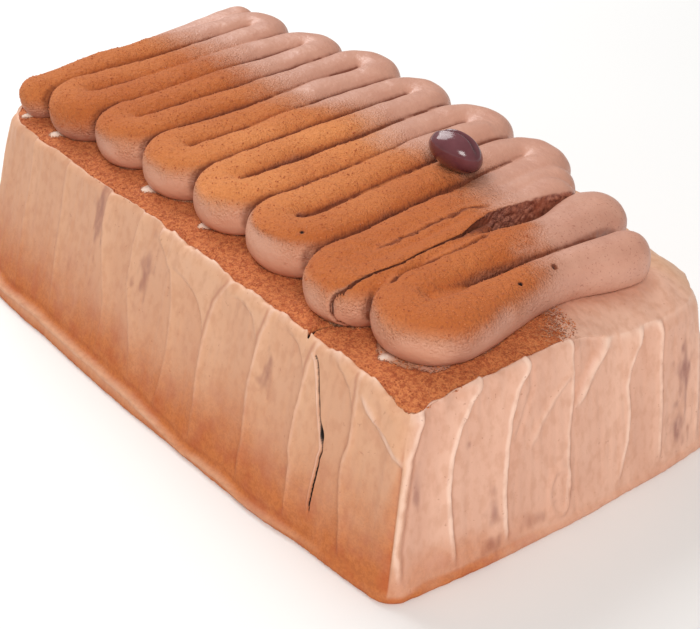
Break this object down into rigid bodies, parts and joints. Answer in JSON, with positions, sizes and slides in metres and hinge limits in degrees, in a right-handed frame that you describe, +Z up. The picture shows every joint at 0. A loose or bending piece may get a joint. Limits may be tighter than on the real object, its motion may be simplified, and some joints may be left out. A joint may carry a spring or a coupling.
{
  "type": "mocha cake",
  "caption": "Frosted mocha loaf cake with spread sides, a piped buttercream rope looping to and fro over a cocoa-dusted top, a part-opened cut near one end and a chocolate coffee bean.",
  "frame": {"origin": "middle of the base, on the surface the cake stands on", "axes": "+X along the length towards the end with the cut, +Y across towards the far long side, +Z up"},
  "size_m": [0.2222, 0.1362, 0.0734],
  "materials": {
    "frosting": "soft spread coffee buttercream with faint spread strokes",
    "cocoa_cream": "piped coffee buttercream dusted with cocoa",
    "chocolate": "glossy dark chocolate"
  },
  "bodies": {
    "root": {"cake_body": "frosting", "piped_rope": "cocoa_cream", "piped_rope_end": "cocoa_cream", "coffee_bean": "chocolate"}
  },
  "joints": []
}
